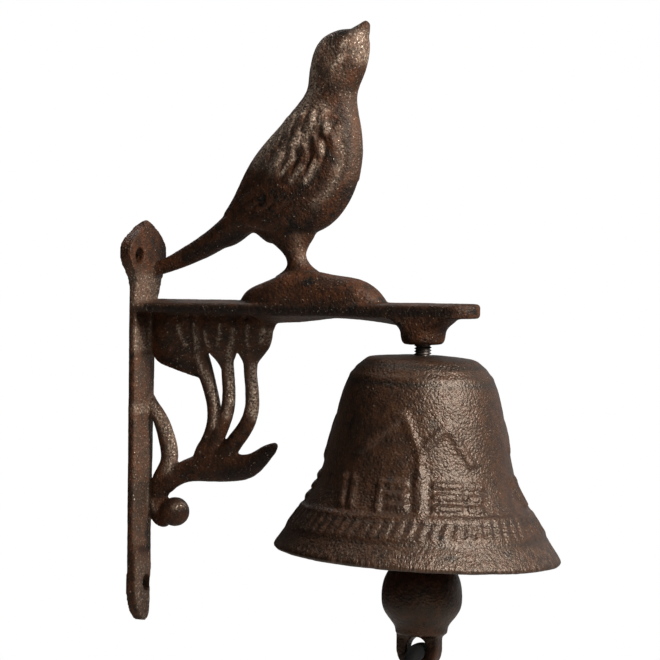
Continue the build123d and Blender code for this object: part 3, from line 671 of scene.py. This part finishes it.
# raised feather lines on the bird and ribs on the buds, as (x, z) in millimetres
ridges = {
    "wide": 0.95,
    "high": 0.5,
    "faintest": 0.02,  # weights below this are left out
    "lines": [
        [(83.4, 102.4), (84.8, 96.0), (84.8, 90.5), (81.8, 84.1), (78.8, 81.4), (75.1, 77.6)],
        [(87.9, 112.1), (88.9, 104.6), (89.3, 98.1), (88.1, 91.7), (85.8, 85.8)],
        [(78.2, 105.1), (77.9, 101.3)],
        [(80.4, 100.2), (81.0, 97.5)],
        [(77.0, 98.6), (76.7, 94.9)],
        [(72.9, 107.3), (73.2, 103.5)],
        [(67.4, 100.8), (65.5, 97.6)],
        [(62.8, 96.0), (58.8, 90.6)],
        [(65.9, 93.8), (59.4, 86.8)],
        [(70.0, 92.7), (63.2, 85.7)],
        [(74.0, 91.6), (68.2, 85.2)],
        [(81.1, 88.9), (76.8, 86.2)],
        [(85.5, 131.8), (83.7, 128.6), (81.3, 125.5), (79.5, 122.8)],
        [(75.9, 132.1), (73.5, 126.7)],
        [(89.7, 134.0), (90.7, 128.1)],
        [(15.6, 34.0), (16.0, 31.7), (18.5, 27.2)],
        [(21.8, 35.0), (22.1, 32.3), (22.9, 28.2), (22.9, 23.2), (24.9, 18.8)],
        [(26.9, 35.0), (26.9, 31.5), (27.1, 28.8), (28.4, 26.6)],
        [(33.0, 35.0), (32.8, 30.0), (32.2, 26.5)],
        [(37.9, 35.0), (37.7, 32.6), (37.7, 29.9), (36.9, 27.2), (36.2, 23.6)],
        [(44.5, 35.0), (44.3, 30.0), (44.6, 26.0)],
        [(50.9, 34.5), (50.6, 32.5), (49.8, 28.3)],
        [(10.5, 35.0), (10.8, 30.0), (12.5, 26.0)],
    ],
}


def lineWeights(piece, lines):
    # a value for each vertex: a line's strength on it, fading out on both sides
    count = len(piece.data.vertices)
    places = np.zeros(count * 3)
    piece.data.vertices.foreach_get("co", places)
    flat = places.reshape(-1, 3)[:, (0, 2)] / mm  # seen from the side
    weights = np.zeros(count)
    for strength, half, line in lines:
        nearest = np.full(count, 1e9)
        for start, end in zip(np.array(line), np.array(line)[1:]):
            way = end - start
            along = np.clip(((flat - start) @ way) / (way @ way), 0, 1)
            nearest = np.minimum(nearest, np.linalg.norm(flat - start - along[:, None] * way, axis=1))
        weights = np.maximum(weights, strength * np.exp(-((nearest / half) ** 2)))
    return weights


def linesGroup(piece, shape):
    weights = lineWeights(piece, [(1.0, shape["wide"], line) for line in shape["lines"]])
    group = piece.vertex_groups.new(name="lines")
    for i in np.nonzero(weights > shape["faintest"])[0]:
        group.add([int(i)], float(weights[i]), "REPLACE")
    return group.name


pour = {
    "mergeReach": 0.002,  # millimetres, for the loose triangles of a CAD mesh
    "smoothing": 0.5,
    "cloudDepth": 2,
    "middle": 0.5,
}


def castCopy(node, name, voxel, smooth, lumps, grain, finish, lines=None, marks=None):
    # the CAD solid with softened edges and a sand-cast skin
    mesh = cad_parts[node].data.copy()
    mesh.name = name
    mesh.materials.clear()
    piece = bpy.data.objects.new(name, mesh)
    bpy.context.scene.collection.objects.link(piece)
    makeActive(piece)
    bpy.ops.object.mode_set(mode="EDIT")
    bpy.ops.mesh.select_all(action="SELECT")
    bpy.ops.mesh.remove_doubles(threshold=pour["mergeReach"] * mm)
    bpy.ops.object.mode_set(mode="OBJECT")
    applyModifier(piece, "REMESH", mode="VOXEL", voxel_size=voxel * mm)
    applyModifier(piece, "SMOOTH", factor=pour["smoothing"], iterations=smooth)
    if lines:
        group = linesGroup(piece, lines)
        applyModifier(piece, "DISPLACE", strength=lines["high"] * mm, mid_level=0.0, vertex_group=group)
    for label, (size, strength) in (("Lumps", lumps), ("Grain", grain)):
        cloud = bpy.data.textures.new(name + label, "CLOUDS")
        cloud.noise_scale = size * mm
        cloud.noise_depth = pour["cloudDepth"]
        applyModifier(
            piece,
            "DISPLACE",
            texture=cloud,
            texture_coords="LOCAL",
            strength=strength * mm,
            mid_level=pour["middle"],
        )
    for label, places in (marks or {}).items():
        attribute = piece.data.attributes.new(label, "FLOAT", "POINT")
        attribute.data.foreach_set("value", lineWeights(piece, places).astype(np.float32))
    makeActive(piece)
    bpy.ops.object.shade_smooth()
    piece.data.materials.append(finish)
    print(name, "has", len(piece.data.polygons), "faces")
    return piece


# dark rings of painted shade round the bell, as (strength, half width, level)
bellShadeRings = {
    "rings": [(1.0, 1.6, 26.6), (0.8, 0.9, 22.6), (0.9, 0.9, 16.9), (0.5, 0.6, -28.2), (0.5, 0.6, -34.8)],
    "reach": (64.4, 164.4),
    "lean": 1.57,  # how much higher they are at the wall end
}
# painted shade on the left side of the bell's flare
shadedFlare = (0.45, 9.0, [(70.0, -37.0), (88.0, -30.0)])


def shadeRingLines():
    (start, end), lean = bellShadeRings["reach"], bellShadeRings["lean"]
    return [(dark, half, [(start, z + lean), (end, z - lean)]) for dark, half, z in bellShadeRings["rings"]]


# voxel size and ridges in millimetres; lumps and grain are each a size and a height
castings = {
    "wall_bracket": {
        "name": "bracketCasting",
        "voxel": 0.57,
        "smooth": 1,
        "lumps": (9.0, 0.2),
        "grain": (1.6, 0.14),
        "finish": ironFinish,
        "lines": ridges,
        "marks": {"paintedSheen": paintedSheenLines, "paintedShade": paintedShadeLines},
    },
    "bell": {
        "name": "bellCasting",
        "voxel": 0.72,
        "smooth": 9,
        "lumps": (10.0, 0.4),
        "grain": (1.8, 0.1),
        "finish": bellFinish,
        "marks": {"paintedShade": shadeRingLines() + [shadedFlare], "paintedSheen": []},
    },
    "clapper": {
        "name": "clapperCasting",
        "voxel": 0.5,
        "smooth": 10,
        "lumps": (9.0, 0.25),
        "grain": (1.8, 0.06),
        "finish": clapperFinish,
    },
}
for node, shape in castings.items():
    piece = castCopy(node, **shape)
    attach(piece, "clapper" if node == "clapper" else "bracket")
    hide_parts(node)
print("castings poured")

stud = {
    "foot": (114.4, 3.35, 29.45),  # middle of the boss's foot
    "lean": 1.8,
    "top": 8.0,
    "low": -16.4,
    "radius": 3.0,
    "pitch": 1.0,
    "threadDepth": 0.6,
    "crest": (0.36, 0.5, 0.86),  # levels on one tooth: crest begins, crest ends, foot
    "crestGap": 0.05,
    "threadSteps": 36,
    "eyeOffset": 1.5,
    "eyeDrop": 21.84,
    "eyeRadius": 6.2,
    "eyeSteps": 72,
    "wireRadius": 2.0,
    "wireSteps": 24,
    "mergeReach": 0.01,
}


def makeStud():
    # one tooth of the thread is turned up the stud by a Screw modifier
    root, crest = stud["radius"] - stud["threadDepth"], stud["radius"] - stud["crestGap"]
    rise, fall, foot = stud["crest"]
    tooth = [(root, 0), (crest, rise), (crest, fall), (root, foot), (root, stud["pitch"])]
    turns = round((stud["top"] - stud["low"]) / stud["pitch"]) - 2
    thread = meshPiece("threadedStud", [(r * mm, 0, z * mm) for r, z in tooth], [])
    thread.data.edges.add(len(tooth) - 1)
    for i, edge in enumerate(thread.data.edges):
        edge.vertices = (i, i + 1)
    applyModifier(
        thread,
        "SCREW",
        angle=math.tau,
        screw_offset=stud["pitch"] * mm,
        iterations=turns,
        steps=stud["threadSteps"],
        render_steps=stud["threadSteps"],
        use_merge_vertices=True,
        merge_threshold=stud["mergeReach"] * mm,
        axis="Z",
    )
    thread.location = (0, 0, stud["low"] * mm)
    settle(thread)
    makeActive(thread)
    bpy.ops.object.mode_set(mode="EDIT")
    bpy.ops.mesh.select_all(action="SELECT")
    bpy.ops.mesh.remove_doubles(threshold=stud["mergeReach"] * mm)
    bpy.ops.mesh.select_all(action="DESELECT")
    bpy.ops.mesh.select_non_manifold(extend=False)
    bpy.ops.mesh.fill()  # closes both ends of the thread
    bpy.ops.mesh.select_all(action="SELECT")
    bpy.ops.mesh.normals_make_consistent(inside=False)
    bpy.ops.object.mode_set(mode="OBJECT")
    deselectAll()
    bpy.ops.mesh.primitive_torus_add(
        major_radius=stud["eyeRadius"] * mm,
        minor_radius=stud["wireRadius"] * mm,
        major_segments=stud["eyeSteps"],
        minor_segments=stud["wireSteps"],
        location=(stud["eyeOffset"] * mm, 0, -stud["eyeDrop"] * mm),
        rotation=(0, math.pi / 2, 0),
    )
    eye = bpy.context.object
    settle(eye)
    bpy.ops.object.shade_smooth()
    thread.select_set(True)
    bpy.context.view_layer.objects.active = thread
    bpy.ops.object.join()
    lean = Matrix.Rotation(math.radians(stud["lean"]), 4, "Y")
    thread.matrix_world = Matrix.Translation(Vector(stud["foot"]) * mm) @ lean
    settle(thread)
    thread.data.materials.clear()
    thread.data.materials.append(steelFinish)
    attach(thread, "bracket")
    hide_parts("eye_bolt")


makeStud()
for node in ("crown_washer", "crown_nut"):
    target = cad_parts[node]
    target.data.materials.clear()
    target.data.materials.append(steelFinish)
print("steel parts finished")

floorLook = {
    "size": 1.2,
    "place": (0.1, 0, -0.2135),
    "colour": (0.42, 0.41, 0.4, 1.0),
    "roughness": 0.9,
    "gloss": 0.1,
}


def makeFloor():
    bpy.ops.mesh.primitive_plane_add(size=floorLook["size"], location=floorLook["place"])
    floor = bpy.context.object
    floor.name = "paleFloor"
    settle(floor)
    pale = Finish("paleFloorFinish")
    pale.shader.inputs["Base Color"].default_value = floorLook["colour"]
    pale.shader.inputs["Roughness"].default_value = floorLook["roughness"]
    pale.shader.inputs["Specular IOR Level"].default_value = floorLook["gloss"]
    floor.data.materials.append(pale.material)


worldLook = {
    "whitest": (0.75, 0.7, 0.35),  # share of the camera's forward way, of its right and of up
    "falloff": 8.0,
    "glossy": 0.5,  # what shiny places see where it is whitest
    "fill": 0.14,  # soft light from all round
}


def makeWorld():
    world = bpy.data.worlds.new("studio")
    bpy.context.scene.world = world
    world.use_nodes = True
    tree = world.node_tree
    background = tree.nodes["Background"]
    background.inputs["Color"].default_value = (1, 1, 1, 1)
    rays = tree.nodes.new("ShaderNodeLightPath")
    way = tree.nodes.new("ShaderNodeTexCoord")
    dot = tree.nodes.new("ShaderNodeVectorMath")
    dot.operation = "DOT_PRODUCT"
    tree.links.new(way.outputs["Generated"], dot.inputs[0])
    ahead, aside, above = worldLook["whitest"]
    dot.inputs[1].default_value = (forward * ahead + level * aside + Vector((0, 0, above))).normalized()
    seen = Wire(tree, rays.outputs["Is Camera Ray"])
    through = Wire(tree, rays.outputs["Is Transmission Ray"])
    glossy = Wire(tree, rays.outputs["Is Glossy Ray"]).math("MAXIMUM", through)
    facing = (Wire(tree, dot.outputs["Value"]) * 0.5 + 0.5).clamped()  # 1 towards the whitest part, 0 away
    shine = facing ** worldLook["falloff"] * worldLook["glossy"]
    rest = (1 - glossy) * worldLook["fill"] + glossy * shine
    feed(tree, background.inputs["Strength"], (1 - seen) * rest + seen)


# turned about the upright axis from the camera's side, to the right, and raised, in degrees
lamps = {
    "key": {
        "turn": 50,
        "rise": 32,
        "distance": 1.5,
        "size": (0.3, 0.64),
        "watts": 33,
        "tint": (1.0, 0.955, 0.9),
    },
    "low": {
        "turn": 0,
        "rise": -14,
        "distance": 1.2,
        "size": (0.3, 0.2),
        "watts": 0.4,
        "tint": (1.0, 0.94, 0.86),
    },
    "top": {
        "turn": -90,
        "rise": 70,
        "distance": 1.3,
        "size": (0.5, 0.5),
        "watts": 1.5,
        "tint": (1.0, 0.98, 0.95),
    },
    "back": {
        "turn": -160,
        "rise": 45,
        "distance": 1.4,
        "size": (0.5, 0.5),
        "watts": 3,
        "tint": (1.0, 1.0, 1.0),
    },
}
lampAim = (0.08, 0.0, 0.02)


def makeLamps():
    toEye = Vector((-forward.x, -forward.y, 0)).normalized()
    for name, lamp in lamps.items():
        turn, rise = math.radians(lamp["turn"]), math.radians(lamp["rise"])
        out = Matrix.Rotation(turn, 3, "Z") @ toEye
        direction = out * math.cos(rise) + Vector((0, 0, 1)) * math.sin(rise)
        bpy.ops.object.light_add(type="AREA", location=Vector(lampAim) + direction * lamp["distance"])
        light = bpy.context.object
        light.name = name + "Lamp"
        light.data.shape = "RECTANGLE"
        light.data.size, light.data.size_y = lamp["size"]
        light.data.energy = lamp["watts"]
        light.data.color = lamp["tint"]
        light.rotation_euler = direction.to_track_quat("Z", "Y").to_euler()


makeFloor()
makeWorld()
makeLamps()
bpy.context.scene.view_settings.view_transform = "Standard"
print("studio lit")
